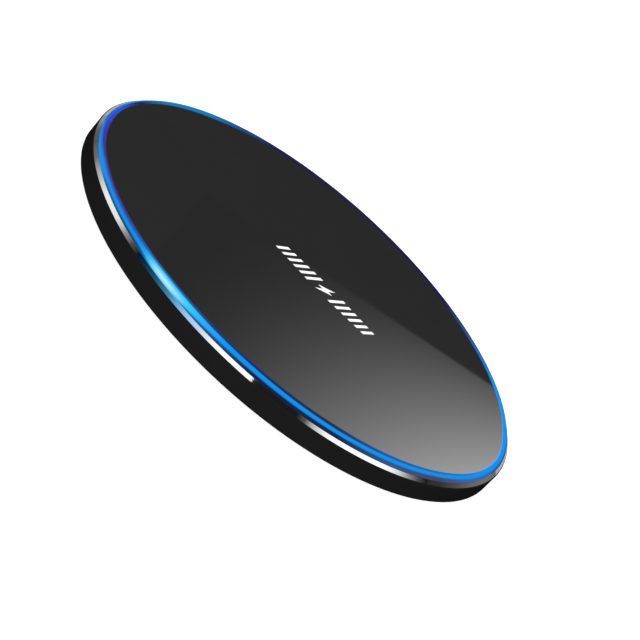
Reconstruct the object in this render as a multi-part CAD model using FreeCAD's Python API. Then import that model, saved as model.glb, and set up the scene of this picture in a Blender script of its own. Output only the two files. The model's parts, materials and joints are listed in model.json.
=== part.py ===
# Round wireless charging pad, 100 mm across and 6.5 mm thick, in millimetres.
# The origin is the centre of the footprint on the desk. +Z points up through the charging
# face, +X runs along the line of the printed mark, and +Y points at the micro-USB inlet.
#
# From the desk up the pad is a silicone foot ring, a moulded bottom cover, the circuit board
# with its coil, a carrier plate, and the top panel in a turned aluminium bezel. Blue LEDs on
# the board shine into a light guide that glows through the clear border of the panel.
import FreeCAD, Part
import math
import os

from FreeCAD import Vector

# ---------------------------------------------------------------- driving dimensions
PAD_DIAMETER = 100.0
PAD_HEIGHT = 6.5
WALL_BOTTOM = 1.2           # the bezel hovers this far above the desk
WALL_TOP = 4.9              # where the side wall meets the polished chamfer
RIM_CHAMFER = 0.8
RIM_LEDGE = 0.05            # flat ring between the chamfer and the panel
HEM_CHAMFER = 0.25          # small chamfer on the wall's lower edge
PANEL_THICKNESS = 1.2
PANEL_BEVEL = 0.75
CLEAR_BORDER = 1.5          # unprinted ring of the panel that glows
SLIP = 0.1                  # gap between nested parts

FOOT_HEIGHT = 0.8
FOOT_TAPE = 0.1
COVER_BOTTOM = 0.6          # the cover's underside above the desk
COVER_FLOOR = 0.8
BOARD_THICKNESS = 0.8
BOARD_BOTTOM = 2.0
SCREW_CIRCLE = 37.0
SCREW_ANGLES = (45, 135, 225, 315)

COIL_WIRE = 1.05
COIL_PITCH = 1.12
COIL_TURNS = 10
COIL_INNER = 10.8           # radius of the innermost centreline
LEAD_WIRE = 0.85
INNER_LEAD_Y = 2.2
OUTER_LEAD_Y = 5.2
LEAD_PAD_X = 31.0

LED_COUNT = 6
LED_FIRST = 15.0            # degrees from +X, which keeps the LEDs clear of the inlet
LED_CIRCLE = 44.2

USB_WIDTH = 7.5
USB_HEIGHT = 2.4
USB_MIDDLE = 2.9            # height of the socket's centre
USB_BACK = 44.5
USB_MOUTH = 49.5
USB_SHEET = 0.25            # thickness of the shell's steel
USB_EAR = 1.3               # how far each soldered ear reaches past the shell's side
PORT_CORNER = 0.4           # corner radius of the opening in the bezel

# ---------------------------------------------------------------- sizes that follow
LED_ANGLES = tuple(LED_FIRST + 360 / LED_COUNT * k for k in range(LED_COUNT))
PAD_R = PAD_DIAMETER / 2
BEZEL_TOP = WALL_TOP + RIM_CHAMFER
BEZEL_INNER = PAD_R - RIM_CHAMFER - RIM_LEDGE
PANEL_R = BEZEL_INNER - SLIP
PANEL_BOTTOM = PAD_HEIGHT - PANEL_THICKNESS
PRINT_R = PANEL_R - CLEAR_BORDER
PRINT_THICKNESS = 0.05
PRINT_BOTTOM = PANEL_BOTTOM - PRINT_THICKNESS
COVER_TOP = COVER_BOTTOM + COVER_FLOOR
BOARD_TOP = BOARD_BOTTOM + BOARD_THICKNESS

FLANGE_INNER = 47.0         # the bezel's inward flange, bonded to the cover's lip
FLANGE_BOTTOM = WALL_BOTTOM + 0.1
FLANGE_TOP = FLANGE_BOTTOM + 0.7
LIP_R = 48.4
RIM_OUTER = FLANGE_INNER - SLIP
RIM_INNER = RIM_OUTER - 0.9
REFLECTOR_THICKNESS = 0.05
GUIDE_BOTTOM = 4.2
RIM_TOP = GUIDE_BOTTOM - REFLECTOR_THICKNESS
GUIDE_INNER = 45.3
SKIRT_OUTER = RIM_INNER - SLIP
SKIRT_BOTTOM = BOARD_TOP + 0.2
BOARD_R = 45.6
CARRIER_OUTER = GUIDE_INNER - SLIP
CARRIER_INNER = 29.0
CARRIER_BOTTOM = 4.6
TAPE = 0.1
CARRIER_TOP = PRINT_BOTTOM - TAPE

FERRITE_TAPE = 0.15
FERRITE_BOTTOM = BOARD_TOP + FERRITE_TAPE
FERRITE_TOP = FERRITE_BOTTOM + 0.9
FERRITE_R = 24.0
FERRITE_HOLE = 8.0
COIL_BOTTOM = FERRITE_TOP + TAPE
COIL_MIDDLE = COIL_BOTTOM + COIL_WIRE / 2
COIL_TOP = COIL_BOTTOM + COIL_WIRE
COIL_OUTER = COIL_INNER + COIL_TURNS * COIL_PITCH
LEAD_MIDDLE = (FERRITE_BOTTOM + FERRITE_TOP) / 2

FOOT_INNER = 33.2
FOOT_OUTER = 40.8
RECESS_TOP = FOOT_HEIGHT + FOOT_TAPE
SCREW_HEAD_R = 1.8
SCREW_HEAD = 0.6
SCREW_R = 1.0
SCREW_TIP = 4.4


# ---------------------------------------------------------------- shape helpers
def disc(radius, bottom, top, x=0.0, y=0.0):
    """An upright cylinder between two heights."""
    return Part.makeCylinder(radius, top - bottom, Vector(x, y, bottom))


def ring(inner, outer, bottom, top):
    """A flat washer on the pad's axis."""
    return disc(outer, bottom, top).cut(disc(inner, bottom - 1, top + 1))


def turned(profile):
    """A full turn of a closed outline of (radius, height) points."""
    points = [Vector(r, 0, z) for r, z in profile]
    outline = Part.makePolygon(points + points[:1])
    return Part.Face(outline).revolve(Vector(0, 0, 0), Vector(0, 0, 1), 360)


def block(x, y, length, width, bottom, top, turn=0.0):
    """A box centred on (x, y), then turned about the pad's axis by some degrees."""
    box = Part.makeBox(length, width, top - bottom, Vector(x - length / 2, y - width / 2, bottom))
    return turned_about_axis(box, turn)


def turned_about_axis(shape, degrees):
    """A copy of a shape, turned about the pad's axis."""
    copy = shape.copy()
    copy.rotate(Vector(0, 0, 0), Vector(0, 0, 1), degrees)
    return copy


def on_circle(radius, degrees):
    """The x and y of a point on a circle about the pad's axis."""
    angle = math.radians(degrees)
    return radius * math.cos(angle), radius * math.sin(angle)


def bar_slot(start, end, width, bottom, top):
    """A round-ended radial slot along +X, from one radius to the other."""
    half = width / 2
    straight = block((start + end) / 2, 0, end - start - width, width, bottom, top)
    return straight.fuse([disc(half, bottom, top, start + half), disc(half, bottom, top, end - half)])


def prism_y(section, start, end):
    """A closed outline of (x, z) points, extruded along +Y from start to end."""
    points = [Vector(x, start, z) for x, z in section]
    outline = Part.makePolygon(points + points[:1])
    return Part.Face(outline).extrude(Vector(0, end - start, 0))


def softened(shape, size, wanted):
    """The shape with the chosen edges chamfered."""
    return shape.makeChamfer(size, [edge for edge in shape.Edges if wanted(edge)])


def wire_along(points, bend, diameter):
    """A round wire along straight runs that are joined by tangent arcs of one bend radius."""
    edges = []
    here = points[0]
    for before, corner, after in zip(points, points[1:], points[2:]):
        back = (before - corner).normalize()
        ahead = (after - corner).normalize()
        half_turn = (math.pi - back.getAngle(ahead)) / 2
        setback = bend * math.tan(half_turn)
        middle = corner + (back + ahead).normalize() * (bend / math.cos(half_turn) - bend)
        arc_start = corner + back * setback
        arc_end = corner + ahead * setback
        edges.append(Part.LineSegment(here, arc_start).toShape())
        edges.append(Part.Arc(arc_start, middle, arc_end).toShape())
        here = arc_end
    edges.append(Part.LineSegment(here, points[-1]).toShape())
    return swept(edges, points[0], points[1] - points[0], diameter)


def swept(edges, start, heading, diameter):
    """A circle of the given diameter, swept along connected edges."""
    circle = Part.Wire(Part.Circle(start, heading, diameter / 2).toShape())
    return Part.Wire(edges).makePipeShell([circle], True, False)


# ---------------------------------------------------------------- case and charging face
def port_opening(extra, start, end):
    """The socket's outline grown by extra, extruded along +Y."""
    half = USB_WIDTH / 2 + extra
    bottom = USB_MIDDLE - USB_HEIGHT / 2 - extra
    top = USB_MIDDLE + USB_HEIGHT / 2 + extra
    opening = prism_y([(-half, bottom), (half, bottom), (half, top), (-half, top)], start, end)
    along_y = lambda edge: abs(edge.tangentAt(edge.FirstParameter).y) > 0.99
    return opening.makeFillet(PORT_CORNER, [edge for edge in opening.Edges if along_y(edge)])


def bezel_ring():
    """Turned aluminium ring: wall, polished chamfers, panel ledge and a bonding flange."""
    shape = turned([
        (FLANGE_INNER, FLANGE_BOTTOM),
        (BEZEL_INNER, FLANGE_BOTTOM),
        (BEZEL_INNER, WALL_BOTTOM),
        (PAD_R - HEM_CHAMFER, WALL_BOTTOM),
        (PAD_R, WALL_BOTTOM + HEM_CHAMFER),
        (PAD_R, WALL_TOP),
        (PAD_R - RIM_CHAMFER, BEZEL_TOP),
        (BEZEL_INNER, BEZEL_TOP),
        (BEZEL_INNER, FLANGE_TOP),
        (FLANGE_INNER, FLANGE_TOP),
    ])
    flange_gap = block(0, FLANGE_INNER, USB_WIDTH + 1, 2 * (BEZEL_INNER - FLANGE_INNER), 1, FLANGE_TOP)
    flange_gap = flange_gap.common(disc(BEZEL_INNER, 0, FLANGE_TOP))
    return shape.cut(flange_gap).cut(port_opening(0.15, FLANGE_INNER - 2, PAD_R + 1))


def top_panel():
    """Clear panel with a bevelled edge that stands proud of the bezel."""
    return turned([
        (0, PANEL_BOTTOM),
        (PANEL_R, PANEL_BOTTOM),
        (PANEL_R, PAD_HEIGHT - PANEL_BEVEL),
        (PANEL_R - PANEL_BEVEL, PAD_HEIGHT),
        (0, PAD_HEIGHT),
    ])


def panel_print():
    """Black ink film on the back of the panel, which leaves its border clear."""
    return disc(PRINT_R, PRINT_BOTTOM, PANEL_BOTTOM)


def panel_adhesive():
    """Double-sided tape between the carrier and the printed panel."""
    return ring(CARRIER_INNER + 1, CARRIER_OUTER - 0.2, CARRIER_TOP, PRINT_BOTTOM)


def light_guide():
    """Milky ring that lifts the LED light to the panel's clear border."""
    step = PRINT_R + SLIP
    shape = turned([
        (GUIDE_INNER, SKIRT_BOTTOM),
        (SKIRT_OUTER, SKIRT_BOTTOM),
        (SKIRT_OUTER, GUIDE_BOTTOM),
        (PANEL_R, GUIDE_BOTTOM),
        (PANEL_R, PANEL_BOTTOM),
        (step, PANEL_BOTTOM),
        (step, PRINT_BOTTOM),
        (GUIDE_INNER, PRINT_BOTTOM),
    ])
    socket_gap = block(0, GUIDE_INNER, USB_WIDTH + 2 * USB_EAR + 0.5, 4, SKIRT_BOTTOM, GUIDE_BOTTOM)
    return shape.cut(socket_gap)


def guide_reflector():
    """White film that sends stray light back up into the guide."""
    return ring(RIM_INNER, PANEL_R - SLIP, RIM_TOP, GUIDE_BOTTOM)


def carrier_plate():
    """Ring-shaped plate that holds the panel, with a screw boss over each corner hole."""
    shape = ring(CARRIER_INNER, CARRIER_OUTER, CARRIER_BOTTOM, CARRIER_TOP)
    hoop = ring(CARRIER_INNER, CARRIER_INNER + 0.8, CARRIER_BOTTOM - 0.4, CARRIER_BOTTOM)
    bosses = []
    pilots = []
    for angle in SCREW_ANGLES:
        x, y = on_circle(SCREW_CIRCLE, angle)
        bosses.append(disc(2.2, BOARD_TOP, CARRIER_BOTTOM, x, y))
        pilots.append(disc(SCREW_R, BOARD_TOP, SCREW_TIP + 0.1, x, y))
    lead_gate = block(CARRIER_INNER, OUTER_LEAD_Y - 1, 6, 8, CARRIER_BOTTOM - 1, CARRIER_BOTTOM)
    return shape.fuse([hoop] + bosses).cut(pilots + [lead_gate])


def bottom_cover():
    """Moulded pan: floor, lip, rim wall, board supports, vents and a recess for the foot."""
    shape = turned([
        (0, COVER_BOTTOM),
        (LIP_R - 0.3, COVER_BOTTOM),
        (LIP_R, COVER_BOTTOM + 0.3),
        (LIP_R, WALL_BOTTOM),
        (RIM_OUTER, WALL_BOTTOM),
        (RIM_OUTER, RIM_TOP),
        (RIM_INNER, RIM_TOP),
        (RIM_INNER, COVER_TOP),
        (0, COVER_TOP),
    ])
    supports = [turned_about_axis(block(24, 0, 14, 0.8, COVER_TOP, BOARD_BOTTOM), 45 * k) for k in range(8)]
    openings = [ring(FOOT_INNER - 0.2, FOOT_OUTER + 0.2, 0, RECESS_TOP), disc(16, 0, COVER_BOTTOM + 0.15)]
    for angle in SCREW_ANGLES:
        x, y = on_circle(SCREW_CIRCLE, angle)
        supports.append(disc(3.2, COVER_TOP, BOARD_BOTTOM, x, y))
        openings.append(disc(SCREW_HEAD_R + 0.1, RECESS_TOP - 0.1, RECESS_TOP + SCREW_HEAD + 0.05, x, y))
        openings.append(disc(SCREW_R + 0.1, RECESS_TOP, BOARD_BOTTOM + 1, x, y))
    for x, y in LOCATING_PINS:
        supports.append(disc(0.8, COVER_TOP, BOARD_TOP, x, y))
    vent = bar_slot(21, 28, 1.2, 0, COVER_TOP + 1)
    openings += [turned_about_axis(vent, 11.25 + 22.5 * k) for k in range(16)]
    openings.append(block(0, PAD_R - 4, USB_WIDTH + 1, 6, USB_MIDDLE - USB_HEIGHT / 2 - 0.1, RIM_TOP + 1))
    return shape.fuse(supports).cut(openings)


def bezel_tape():
    """Bond between the cover's lip and the bezel's flange."""
    return ring(FLANGE_INNER + 0.1, LIP_R - 0.1, WALL_BOTTOM, FLANGE_BOTTOM)


def cover_screws():
    """Four pan-head screws with a cross recess, hidden under the foot ring."""
    head_top = RECESS_TOP + SCREW_HEAD + 0.05
    head_bottom = head_top - SCREW_HEAD
    core = SCREW_R * 0.8
    lower_edge = lambda edge: abs(edge.CenterOfMass.z - head_bottom) < 0.01 and edge.Length > 9
    screw = softened(disc(SCREW_HEAD_R, head_bottom, head_top), 0.2, lower_edge)
    screw = screw.fuse(disc(core, head_top, SCREW_TIP))
    pitch = 0.4
    for k in range(int((SCREW_TIP - BOARD_TOP) / pitch)):
        foot = BOARD_TOP + 0.05 + pitch * k
        screw = screw.fuse(turned([
            (0, foot), (core, foot), (SCREW_R, foot + 0.15), (core, foot + 0.3), (0, foot + 0.3)]))
    recess_end = head_bottom + 0.35
    screw = screw.cut([block(0, 0, 1.9, 0.4, head_bottom - 1, recess_end),
                       block(0, 0, 0.4, 1.9, head_bottom - 1, recess_end)])
    screws = []
    for angle in SCREW_ANGLES:
        x, y = on_circle(SCREW_CIRCLE, angle)
        copy = screw.copy()
        copy.translate(Vector(x, y, 0))
        screws.append(copy)
    return screws


def foot_ring():
    """Silicone anti-slip ring with two shallow grooves in its tread."""
    groove = 0.2
    land = (FOOT_OUTER - FOOT_INNER) / 5
    steps = [FOOT_INNER + land * k for k in range(6)]
    edge = 0.15
    return turned([
        (steps[0] + edge, 0), (steps[1], 0), (steps[1], groove), (steps[2], groove), (steps[2], 0),
        (steps[3], 0), (steps[3], groove), (steps[4], groove), (steps[4], 0), (steps[5] - edge, 0),
        (steps[5], edge), (steps[5], FOOT_HEIGHT), (steps[0], FOOT_HEIGHT), (steps[0], edge),
    ])


def foot_tape():
    """Bond between the foot ring and the recess in the cover."""
    return ring(FOOT_INNER + 0.2, FOOT_OUTER - 0.2, FOOT_HEIGHT, RECESS_TOP)


def rating_label():
    """Blank label in the recess at the middle of the cover."""
    recess_top = COVER_BOTTOM + 0.15
    return disc(15.8, recess_top - TAPE, recess_top)


# ---------------------------------------------------------------- coil
def coil_winding():
    """Flat spiral of litz wire, made of half circles whose centres swap sides."""
    def crossing(k):
        return (-1) ** k * (COIL_INNER + k * COIL_PITCH / 2)

    arcs = []
    for k in range(2 * COIL_TURNS):
        start, end = crossing(k), crossing(k + 1)
        side = 1 if k % 2 == 0 else -1
        crest = Vector((start + end) / 2, side * abs(start - end) / 2, COIL_MIDDLE)
        arcs.append(Part.Arc(Vector(start, 0, COIL_MIDDLE), crest, Vector(end, 0, COIL_MIDDLE)).toShape())
    return swept(arcs, Vector(COIL_INNER, 0, COIL_MIDDLE), Vector(0, 1, 0), COIL_WIRE)


def coil_leads():
    """Tinned tails of the coil: one through the ferrite's slot, one over its edge, to their pads."""
    turn_in = 4.4
    inner = wire_along([
        Vector(COIL_INNER, -0.01, COIL_MIDDLE),
        Vector(COIL_INNER, -INNER_LEAD_Y, COIL_MIDDLE),
        Vector(COIL_INNER - turn_in, -INNER_LEAD_Y, 4.2),
        Vector(COIL_INNER - turn_in, INNER_LEAD_Y, LEAD_MIDDLE),
        Vector(LEAD_PAD_X + 0.8, INNER_LEAD_Y, LEAD_MIDDLE),
    ], 1.3, LEAD_WIRE)
    outer = wire_along([
        Vector(COIL_OUTER, 0.01, COIL_MIDDLE),
        Vector(COIL_OUTER, OUTER_LEAD_Y, COIL_MIDDLE),
        Vector(FERRITE_R + 1.4, OUTER_LEAD_Y + 0.3, COIL_MIDDLE),
        Vector(FERRITE_R + 3.2, OUTER_LEAD_Y, LEAD_MIDDLE),
        Vector(LEAD_PAD_X + 0.8, OUTER_LEAD_Y, LEAD_MIDDLE),
    ], 0.9, LEAD_WIRE)
    return [inner, outer]


def coil_tape():
    """Ring of tape that bonds the winding to the ferrite."""
    return ring(COIL_INNER - COIL_WIRE / 2, COIL_OUTER + COIL_WIRE / 2, FERRITE_TOP, COIL_BOTTOM)


def ferrite_disc():
    """Shield under the coil, with a slot for the inner lead."""
    slot = block(FERRITE_R / 2 + 3, INNER_LEAD_Y, FERRITE_R, 1.4, FERRITE_BOTTOM, FERRITE_TOP)
    return ring(FERRITE_HOLE, FERRITE_R, FERRITE_BOTTOM, FERRITE_TOP).cut(slot)


def ferrite_tape():
    """Tape that bonds the ferrite to the board."""
    return ring(FERRITE_HOLE + 0.3, FERRITE_R - 0.2, BOARD_TOP, FERRITE_BOTTOM)


def foam_pad():
    """Soft pad that fills the gap between the coil and the panel."""
    return disc(COIL_OUTER + COIL_WIRE / 2, COIL_TOP, PRINT_BOTTOM)


THERMISTOR_X = -3.0
THERMISTOR_Z = 4.1
THERMISTOR_R = 0.8
THERMISTOR_LEAD_GAP = 0.4


def thermistor_bead():
    """Temperature sensor in the eye of the coil."""
    bead = Part.makeSphere(THERMISTOR_R, Vector(THERMISTOR_X, 0, THERMISTOR_Z))
    return bead.cut(thermistor_leads())


def thermistor_leads():
    """Two fine legs from the bead down to the board."""
    sides = (-THERMISTOR_LEAD_GAP, THERMISTOR_LEAD_GAP)
    return [disc(0.15, BOARD_TOP, THERMISTOR_Z, THERMISTOR_X, side) for side in sides]


# ---------------------------------------------------------------- circuit board
LOCATING_PINS = ((-33.0, -18.0), (33.0, -18.0))
TEST_PADS = tuple((-24.0 + 4 * k, -34.0) for k in range(5))
MOSFETS = ((11.0, 30.0), (15.5, 30.0), (11.0, 34.5), (15.5, 34.5))
RESONANT_CAPACITORS = tuple((32.0, 9.2 + 2.4 * k) for k in range(4))
BULK_CAPACITORS = ((5.0, 39.0), (5.0, 35.6))
CHIP_CAPACITORS = tuple((-18.0 + 2.2 * k, 36.6) for k in range(5)) + tuple(
    (-18.0 + 2.2 * k, 27.2) for k in range(3)) + ((20.5, 30.0), (20.5, 32.0))
CHIP_RESISTORS = tuple((-8.6, 29.0 + 1.6 * k) for k in range(5)) + (
    (2.0, 31.0), (2.0, 29.4), (-3.0, 36.4), (-3.0, 34.8), (-24.6, 21.0))
CONTROLLER = (-13.5, 31.8)
CONTROLLER_SIZE = 5.0
CONTROLLER_HEIGHT = 0.85
PINS_PER_SIDE = 8
PIN_PITCH = 0.5
PIN_REACH = 0.3
CRYSTAL = (-20.2, 32.2)
INDUCTOR = (-30.0, 14.0)
REGULATOR = (-31.5, 8.0)
SHUNT = (19.0, 35.4)
DIODE = (-6.2, 41.2)


def main_board():
    """Round board with a bay for the socket, screw holes and locating holes."""
    shape = disc(BOARD_R, BOARD_BOTTOM, BOARD_TOP)
    bay_length = PAD_R - USB_BACK
    bay_width = USB_WIDTH + 0.3
    openings = [block(0, PAD_R - bay_length / 2, bay_width, bay_length, BOARD_BOTTOM - 1, BOARD_TOP + 1)]
    for angle in SCREW_ANGLES:
        x, y = on_circle(SCREW_CIRCLE, angle)
        openings.append(disc(SCREW_R + 0.15, BOARD_BOTTOM - 1, BOARD_TOP + 1, x, y))
    openings += [disc(0.85, BOARD_BOTTOM - 1, BOARD_TOP + 1, x, y) for x, y in LOCATING_PINS]
    return shape.cut(openings)


PAD_COPPER = 0.03


def thermal_pad():
    """Gap filler between the underside of the board, below the transistors, and the cover."""
    centre_x = sum(x for x, y in MOSFETS) / len(MOSFETS)
    centre_y = sum(y for x, y in MOSFETS) / len(MOSFETS)
    return block(centre_x, centre_y, 12, 12, COVER_TOP, BOARD_BOTTOM)


def board_pads():
    """Gold pads on the board: two for the coil and a row of test points."""
    pads = [disc(0.6, BOARD_TOP, BOARD_TOP + PAD_COPPER, x, y) for x, y in TEST_PADS]
    for y in (INNER_LEAD_Y, OUTER_LEAD_Y):
        pads.append(disc(1.4, BOARD_TOP, BOARD_TOP + PAD_COPPER, LEAD_PAD_X, y))
    return pads


def solder_joints():
    """A cone of solder round the end of each coil lead."""
    foot = BOARD_TOP + PAD_COPPER
    joints = []
    for y, lead in zip((INNER_LEAD_Y, OUTER_LEAD_Y), coil_leads()):
        cone = Part.makeCone(1.25, 0.6, 1.2, Vector(LEAD_PAD_X, y, foot))
        joints.append(cone.cut(lead))
    return joints


def chips(centres, length, width, height):
    """Flat rectangular parts of one size, standing on the board."""
    return [block(x, y, length, width, BOARD_TOP, BOARD_TOP + height) for x, y in centres]


def end_capped(centres, length, width, height):
    """Chip parts with a slightly raised metal cap on each end, each part one solid."""
    cap = length * 0.2
    rise = 0.04
    parts = []
    for x, y in centres:
        body = block(x, y, length - 0.02, width - 2 * rise, BOARD_TOP, BOARD_TOP + height - rise)
        caps = [block(x + side * (length - cap) / 2, y, cap, width, BOARD_TOP, BOARD_TOP + height)
                for side in (-1, 1)]
        parts.append(body.fuse(caps))
    return parts


def controller_chip():
    """Quad flat package with a pin-one dimple."""
    x, y = CONTROLLER
    top = BOARD_TOP + CONTROLLER_HEIGHT
    body = block(x, y, CONTROLLER_SIZE, CONTROLLER_SIZE, BOARD_TOP, top)
    corner = CONTROLLER_SIZE / 2 - 0.6
    dimple = disc(0.3, top - 0.05, top + 0.1, x - corner, y + corner)
    return body.cut(dimple)


def controller_pins():
    """Tinned lands round the four sides of the controller, against its edge."""
    x, y = CONTROLLER
    out = (CONTROLLER_SIZE + PIN_REACH) / 2
    pins = []
    for side in range(4):
        for k in range(PINS_PER_SIDE):
            along = (k - (PINS_PER_SIDE - 1) / 2) * PIN_PITCH
            land = block(along, out, PIN_PITCH / 2, PIN_REACH, BOARD_TOP, BOARD_TOP + 0.15, 90 * side)
            land.translate(Vector(x, y, 0))
            pins.append(land)
    return pins


def power_inductor():
    """Shielded square choke with chamfered corners and a shallow dish in its top."""
    x, y = INDUCTOR
    upright = lambda edge: abs(edge.tangentAt(edge.FirstParameter).z) > 0.99
    body = softened(block(x, y, 4.4, 4.4, BOARD_TOP, BOARD_TOP + 1.7), 0.6, upright)
    return body.cut(disc(1.5, BOARD_TOP + 1.6, BOARD_TOP + 2, x, y))


def regulator():
    """Small five-legged linear regulator."""
    x, y = REGULATOR
    body = block(x, y, 1.6, 2.9, BOARD_TOP + 0.1, BOARD_TOP + 1.1)
    legs = [block(x + side * 1.1, y + row, 0.8, 0.4, BOARD_TOP, BOARD_TOP + 0.25)
            for side in (-1, 1) for row in (-0.95, 0, 0.95) if (side, row) != (1, 0)]
    return body.fuse(legs)


def led_body(angle):
    """Side-view LED housing with a window that faces outwards."""
    body = block(LED_CIRCLE, 0, 1.2, 2.8, BOARD_TOP, BOARD_TOP + 0.9, angle)
    return body.cut(led_window(angle))


def led_window(angle):
    """Resin in the window of one LED."""
    return block(LED_CIRCLE + 0.4, 0, 0.4, 2.2, BOARD_TOP + 0.2, BOARD_TOP + 0.75, angle)


def led_resistors():
    """One series resistor beside each LED."""
    return [turned_about_axis(part, angle + 7)
            for angle in LED_ANGLES for part in end_capped([(41.8, 0)], 0.8, 1.6, 0.45)]


# ---------------------------------------------------------------- micro-USB inlet
def socket_section(inset):
    """The socket's outline seen from the mouth, with its two lower corners cut away."""
    half = USB_WIDTH / 2 - inset
    bottom = USB_MIDDLE - USB_HEIGHT / 2 + inset
    top = USB_MIDDLE + USB_HEIGHT / 2 - inset
    cut = 0.9 - inset * 0.4
    return [(-half + cut, bottom), (half - cut, bottom), (half, bottom + cut), (half, top), (-half, top),
            (-half, bottom + cut)]


def usb_shell():
    """Folded steel shell with two ears that are soldered to the board."""
    tube = prism_y(socket_section(0), USB_BACK, USB_MOUTH)
    tube = tube.cut(prism_y(socket_section(USB_SHEET), USB_BACK - 1, USB_MOUTH + 1))
    ear_top = BOARD_TOP + USB_SHEET
    ears = [block(side * (USB_WIDTH + USB_EAR) / 2, USB_BACK + 0.4, USB_EAR, 0.7, BOARD_TOP, ear_top)
            for side in (-1, 1)]
    windows = [block(side * 2.3, USB_MOUTH - 2.2, 0.9, 1.6, USB_MIDDLE + 0.8, USB_MIDDLE + 2)
               for side in (-1, 1)]
    return tube.fuse(ears).cut(windows)


TONGUE_BOTTOM = USB_MIDDLE + 0.1
TONGUE_TOP = TONGUE_BOTTOM + 0.6
CONTACT = 0.15


def usb_insulator():
    """Moulded block at the back of the socket, with the tongue that carries the contacts."""
    back = prism_y(socket_section(USB_SHEET), USB_BACK, USB_BACK + 1.5)
    tongue = block(0, (USB_BACK + 1.5 + USB_MOUTH - 0.7) / 2, 4.4, USB_MOUTH - USB_BACK - 2.2,
                   TONGUE_BOTTOM, TONGUE_TOP)
    return back.fuse(tongue).cut(usb_contacts())


def usb_contacts():
    """Five gold springs under the tongue, with tails down to the board."""
    contacts = []
    for k in range(5):
        x = (k - 2) * 0.65
        strip = block(x, (USB_MOUTH - 1 + USB_BACK - 0.2) / 2, 0.4, USB_MOUTH - USB_BACK - 0.8,
                      TONGUE_BOTTOM, TONGUE_BOTTOM + CONTACT)
        drop = block(x, USB_BACK - 0.125, 0.4, CONTACT, BOARD_TOP, TONGUE_BOTTOM + CONTACT)
        tail = block(x, USB_BACK - 0.5, 0.4, 0.7, BOARD_TOP, BOARD_TOP + CONTACT)
        contacts.append(strip.fuse([drop, tail]))
    return contacts


# ---------------------------------------------------------------- the assembly
def parts():
    """Every separate piece, by name. A list is a group of alike pieces."""
    return {
        "top_panel": top_panel(),
        "panel_print": panel_print(),
        "panel_adhesive": panel_adhesive(),
        "bezel_ring": bezel_ring(),
        "bezel_tape": bezel_tape(),
        "light_guide": light_guide(),
        "guide_reflector": guide_reflector(),
        "carrier_plate": carrier_plate(),
        "bottom_cover": bottom_cover(),
        "cover_screws": cover_screws(),
        "foot_ring": foot_ring(),
        "foot_tape": foot_tape(),
        "rating_label": rating_label(),
        "foam_pad": foam_pad(),
        "coil_winding": coil_winding(),
        "coil_leads": coil_leads(),
        "coil_tape": coil_tape(),
        "ferrite_disc": ferrite_disc(),
        "ferrite_tape": ferrite_tape(),
        "thermistor_bead": thermistor_bead(),
        "thermistor_leads": thermistor_leads(),
        "thermal_pad": thermal_pad(),
        "main_board": main_board(),
        "board_pads": board_pads(),
        "solder_joints": solder_joints(),
        "controller_chip": controller_chip(),
        "controller_pins": controller_pins(),
        "mosfets": chips(MOSFETS, 3.3, 3.3, 0.9),
        "resonant_capacitors": end_capped(RESONANT_CAPACITORS, 3.2, 1.6, 1.6),
        "bulk_capacitors": end_capped(BULK_CAPACITORS, 3.2, 2.5, 1.6),
        "chip_capacitors": end_capped(CHIP_CAPACITORS, 1.6, 0.8, 0.8),
        "chip_resistors": end_capped(CHIP_RESISTORS, 1.6, 0.8, 0.45) + led_resistors(),
        "current_shunt": end_capped([SHUNT], 3.2, 1.6, 0.6),
        "power_inductor": power_inductor(),
        "crystal": chips([CRYSTAL], 3.2, 2.5, 0.7),
        "regulator": regulator(),
        "protection_diode": chips([DIODE], 2.7, 1.6, 1.0),
        "led_bodies": [led_body(angle) for angle in LED_ANGLES],
        "led_windows": [led_window(angle) for angle in LED_ANGLES],
        "usb_shell": usb_shell(),
        "usb_insulator": usb_insulator(),
        "usb_contacts": usb_contacts(),
    }


def main():
    os.makedirs("parts", exist_ok=True)
    for name, shape in parts().items():
        pieces = shape if isinstance(shape, list) else [shape]
        solids = [solid for piece in pieces for solid in piece.Solids]
        Part.Compound(solids).exportStep(os.path.join("parts", name + ".step"))
        print(f"{name}: {len(solids)} solids, {sum(solid.Volume for solid in solids):.1f} mm3")


main()
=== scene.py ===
# The looks of a round wireless charging pad: gloss panel with a lit border, a black bezel with
# a polished rim, and a moulded underside. Lengths are in millimetres until a mesh is made.
import json
import math

import bmesh
import bpy
from mathutils import Matrix, Vector


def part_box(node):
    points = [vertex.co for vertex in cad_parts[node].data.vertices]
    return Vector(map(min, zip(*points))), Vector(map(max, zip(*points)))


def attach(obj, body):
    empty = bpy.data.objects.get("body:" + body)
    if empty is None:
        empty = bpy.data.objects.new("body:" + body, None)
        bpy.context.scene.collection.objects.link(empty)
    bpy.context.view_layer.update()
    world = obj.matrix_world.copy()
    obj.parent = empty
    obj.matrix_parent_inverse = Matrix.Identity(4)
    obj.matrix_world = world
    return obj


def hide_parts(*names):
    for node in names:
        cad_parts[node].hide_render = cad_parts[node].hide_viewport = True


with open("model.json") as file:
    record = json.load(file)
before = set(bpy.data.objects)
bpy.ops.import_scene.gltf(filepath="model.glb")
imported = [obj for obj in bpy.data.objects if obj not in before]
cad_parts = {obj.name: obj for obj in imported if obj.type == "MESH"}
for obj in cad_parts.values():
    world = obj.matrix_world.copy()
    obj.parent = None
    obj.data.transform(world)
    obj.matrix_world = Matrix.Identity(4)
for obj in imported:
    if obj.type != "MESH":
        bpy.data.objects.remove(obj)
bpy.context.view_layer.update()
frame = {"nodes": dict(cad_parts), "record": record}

MM = 0.001


# ---------------------------------------------------------------- sizes, from the frame
def heights(node):
    """The lowest and highest z of a CAD node, in mm."""
    low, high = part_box(node)
    return low.z / MM, high.z / MM


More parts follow.
